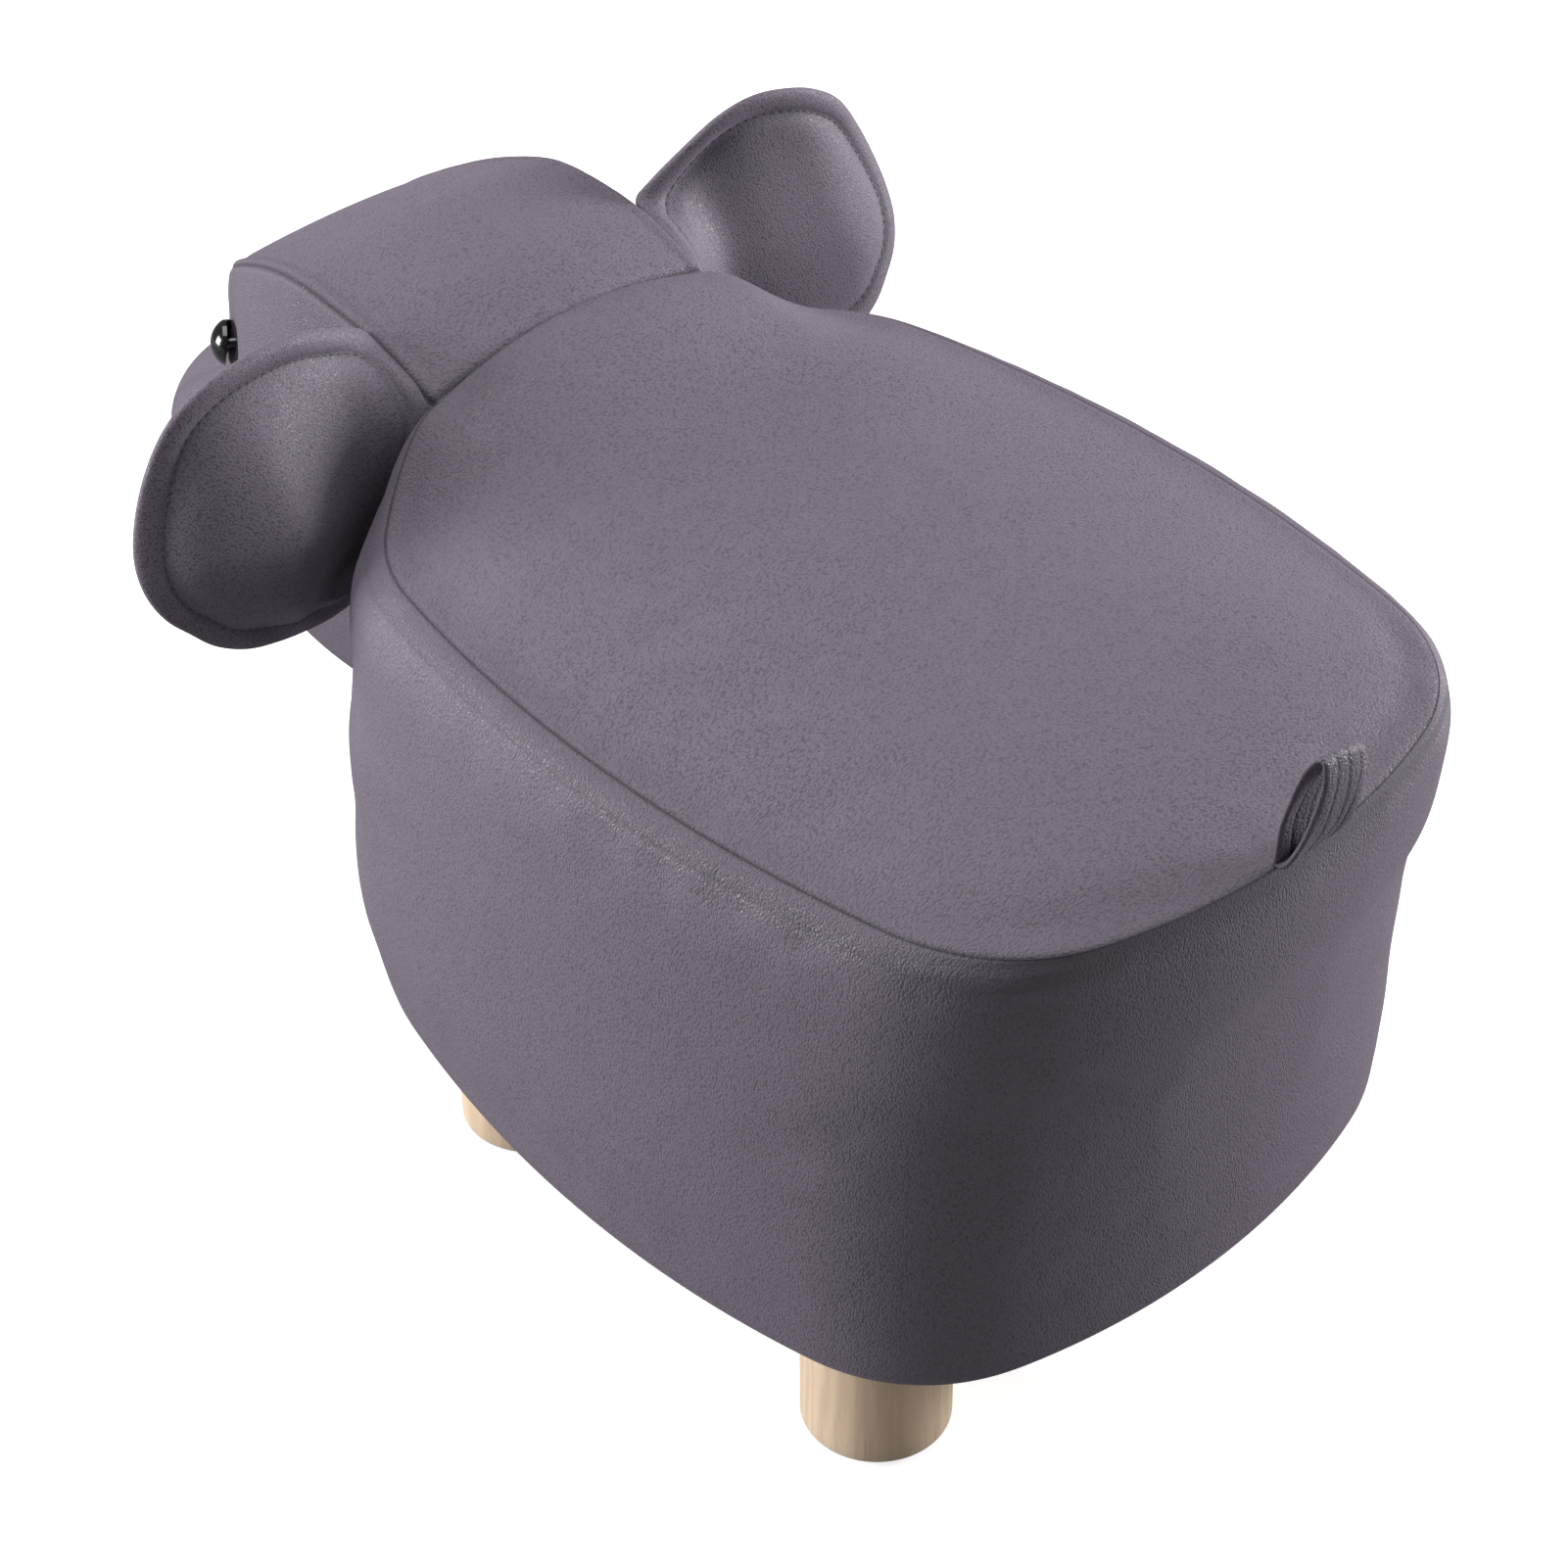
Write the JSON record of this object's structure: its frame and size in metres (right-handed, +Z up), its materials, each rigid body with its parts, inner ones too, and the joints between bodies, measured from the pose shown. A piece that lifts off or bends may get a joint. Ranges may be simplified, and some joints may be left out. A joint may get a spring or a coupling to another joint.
{
  "type": "elephant footstool",
  "caption": "Upholstered footstool shaped like an elephant, with a crowned seat, stuffed head, trunk and ears, a loop tail and short turned wooden legs that screw in.",
  "frame": {"origin": "on the floor, under the middle of the whole object's bounding box, with the trunk and tail counted", "axes": "+Z up, -Y towards the head and trunk, +Y towards the tail, +X towards the elephant's left side"},
  "size_m": [0.4036, 0.6828, 0.3539],
  "materials": {
    "suede_cover": "brushed faux suede with a fine pebble grain",
    "foam": "open-cell upholstery foam",
    "fibre_filling": "packed fibre filling",
    "board": "raw plywood",
    "frame_timber": "raw sawn softwood",
    "leg_timber": "pale satin softwood with fine grain and knots",
    "felt": "pressed felt",
    "steel": "zinc plated",
    "underside_cloth": "matt non-woven cloth",
    "eye_black": "polished black",
    "eye_washer_plastic": "moulded"
  },
  "bodies": {
    "stool": {"base_board": "board", "cover_staples": "steel", "dust_cover": "underside_cloth", "frame_screws": "steel", "front_rail": "frame_timber", "head_face_band": "suede_cover", "head_filling": "fibre_filling", "head_top_panel": "suede_cover", "left_ear_root": "suede_cover", "left_eye": "eye_black", "left_eye_washer": "eye_washer_plastic", "left_rail": "frame_timber", "leg_nuts": "steel", "middle_rail": "frame_timber", "neck_board": "board", "neck_bolts": "steel", "post_front_left": "frame_timber", "post_front_right": "frame_timber", "post_rear_left": "frame_timber", "post_rear_right": "frame_timber", "rear_rail": "frame_timber", "right_ear_root": "suede_cover", "right_eye": "eye_black", "right_eye_washer": "eye_washer_plastic", "right_rail": "frame_timber", "seat_board": "board", "seat_cover": "suede_cover", "seat_foam": "foam", "side_board": "board", "side_cover": "suede_cover", "side_foam": "foam", "trunk": "suede_cover"},
    "left_ear_flap": {"left_ear": "suede_cover"},
    "right_ear_flap": {"right_ear": "suede_cover"},
    "tail": {"tail_loop": "suede_cover"},
    "leg_lift_front_left": {"leg_washer_front_left": "steel"},
    "leg_turn_front_left": {"leg_front_left": "leg_timber", "leg_bolt_front_left": "steel", "leg_glide_front_left": "felt"},
    "leg_lift_front_right": {"leg_washer_front_right": "steel"},
    "leg_turn_front_right": {"leg_front_right": "leg_timber", "leg_bolt_front_right": "steel", "leg_glide_front_right": "felt"},
    "leg_lift_rear_left": {"leg_washer_rear_left": "steel"},
    "leg_turn_rear_left": {"leg_rear_left": "leg_timber", "leg_bolt_rear_left": "steel", "leg_glide_rear_left": "felt"},
    "leg_lift_rear_right": {"leg_washer_rear_right": "steel"},
    "leg_turn_rear_right": {"leg_rear_right": "leg_timber", "leg_bolt_rear_right": "steel", "leg_glide_rear_right": "felt"}
  },
  "joints": [
    {"name": "left_ear_fold", "type": "hinge", "parent": "stool", "child": "left_ear_flap", "pos_m": [0.0852, -0.09466, 0.24], "axis": [0.0942, 0, -0.9956], "range_deg": [-8, 28], "stiffness_Nm_per_rad": 0.05},
    {"name": "right_ear_fold", "type": "hinge", "parent": "stool", "child": "right_ear_flap", "pos_m": [-0.0852, -0.09466, 0.24], "axis": [0.0942, 0, 0.9956], "range_deg": [-8, 28], "stiffness_Nm_per_rad": 0.05},
    {"name": "tail_flex", "type": "hinge", "parent": "stool", "child": "tail", "pos_m": [0, 0.32383, 0.28033], "axis": [1, 0, 0], "range_deg": [-50, 30], "stiffness_Nm_per_rad": 0.01},
    {"name": "leg_drop_front_left", "type": "slide", "parent": "stool", "child": "leg_lift_front_left", "axis": [0, 0, 1], "range_m": [-0.00875, 0]},
    {"name": "leg_screw_front_left", "type": "hinge", "parent": "leg_lift_front_left", "child": "leg_turn_front_left", "pos_m": [0.099, 0.00634, 0.0577], "axis": [0, 0, 1], "range_deg": [-2520, 0]},
    {"name": "leg_drop_front_right", "type": "slide", "parent": "stool", "child": "leg_lift_front_right", "axis": [0, 0, 1], "range_m": [-0.00875, 0]},
    {"name": "leg_screw_front_right", "type": "hinge", "parent": "leg_lift_front_right", "child": "leg_turn_front_right", "pos_m": [-0.099, 0.00634, 0.0577], "axis": [0, 0, 1], "range_deg": [-2520, 0]},
    {"name": "leg_drop_rear_left", "type": "slide", "parent": "stool", "child": "leg_lift_rear_left", "axis": [0, 0, 1], "range_m": [-0.00875, 0]},
    {"name": "leg_screw_rear_left", "type": "hinge", "parent": "leg_lift_rear_left", "child": "leg_turn_rear_left", "pos_m": [0.113, 0.22934, 0.0577], "axis": [0, 0, 1], "range_deg": [-2520, 0]},
    {"name": "leg_drop_rear_right", "type": "slide", "parent": "stool", "child": "leg_lift_rear_right", "axis": [0, 0, 1], "range_m": [-0.00875, 0]},
    {"name": "leg_screw_rear_right", "type": "hinge", "parent": "leg_lift_rear_right", "child": "leg_turn_rear_right", "pos_m": [-0.113, 0.22934, 0.0577], "axis": [0, 0, 1], "range_deg": [-2520, 0]}
  ],
  "couplings": [
    {"joint": "leg_drop_front_left", "follows": "leg_screw_front_left", "m_per_rad": 0.00019894},
    {"joint": "leg_drop_front_right", "follows": "leg_screw_front_right", "m_per_rad": 0.00019894},
    {"joint": "leg_drop_rear_left", "follows": "leg_screw_rear_left", "m_per_rad": 0.00019894},
    {"joint": "leg_drop_rear_right", "follows": "leg_screw_rear_right", "m_per_rad": 0.00019894}
  ]
}
